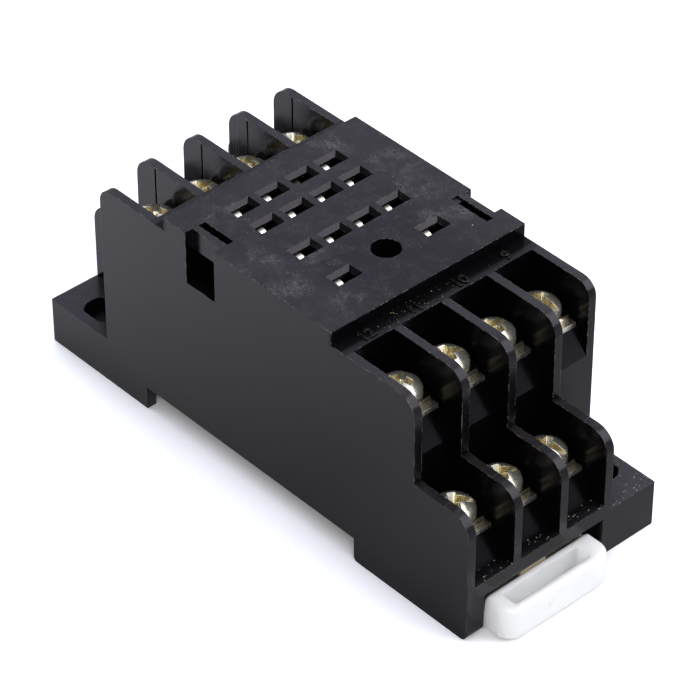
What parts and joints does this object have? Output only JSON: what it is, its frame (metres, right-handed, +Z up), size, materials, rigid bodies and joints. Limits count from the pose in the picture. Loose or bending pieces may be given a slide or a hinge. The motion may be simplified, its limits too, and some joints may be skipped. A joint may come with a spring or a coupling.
{
  "type": "relay socket",
  "caption": "Flat relay socket for a rail or panel, with stepped screw terminals at both ends, blade slots in a raised seat and a sliding rail latch.",
  "frame": {"origin": "on the base plane, half way between the two fixing holes", "axes": "+X along the socket towards the rail latch, +Y across it, +Z up, out of the relay seat"},
  "size_m": [0.0748, 0.0288, 0.0301],
  "materials": {
    "black_plastic": "moulded, satin",
    "white_plastic": "milky, moulded",
    "plated_brass": "nickel-plated",
    "plated_steel": "plated, pale yellow tint"
  },
  "bodies": {
    "socket": {"housing": "black_plastic", "base_cover": "black_plastic", "contact_01": "plated_brass", "contact_02": "plated_brass", "contact_03": "plated_brass", "contact_04": "plated_brass", "contact_05": "plated_brass", "contact_06": "plated_brass", "contact_07": "plated_brass", "contact_08": "plated_brass", "contact_09": "plated_brass", "contact_10": "plated_brass", "contact_11": "plated_brass", "contact_12": "plated_brass", "contact_13": "plated_brass", "contact_14": "plated_brass", "screw_01": "plated_steel", "screw_02": "plated_steel", "screw_03": "plated_steel", "screw_04": "plated_steel", "screw_05": "plated_steel", "screw_06": "plated_steel", "screw_07": "plated_steel", "screw_08": "plated_steel", "screw_09": "plated_steel", "screw_10": "plated_steel", "screw_11": "plated_steel", "screw_12": "plated_steel", "screw_13": "plated_steel", "screw_14": "plated_steel", "washer_01": "plated_steel", "washer_02": "plated_steel", "washer_03": "plated_steel", "washer_04": "plated_steel", "washer_05": "plated_steel", "washer_06": "plated_steel", "washer_07": "plated_steel", "washer_08": "plated_steel", "washer_09": "plated_steel", "washer_10": "plated_steel", "washer_11": "plated_steel", "washer_12": "plated_steel", "washer_13": "plated_steel", "washer_14": "plated_steel"},
    "latch": {"rail_latch": "white_plastic"}
  },
  "joints": [
    {"name": "latch_slide", "type": "slide", "parent": "socket", "child": "latch", "axis": [1, 0, 0], "range_m": [0, 0.003], "stiffness_N_per_m": 1500, "springref_m": -0.001}
  ]
}
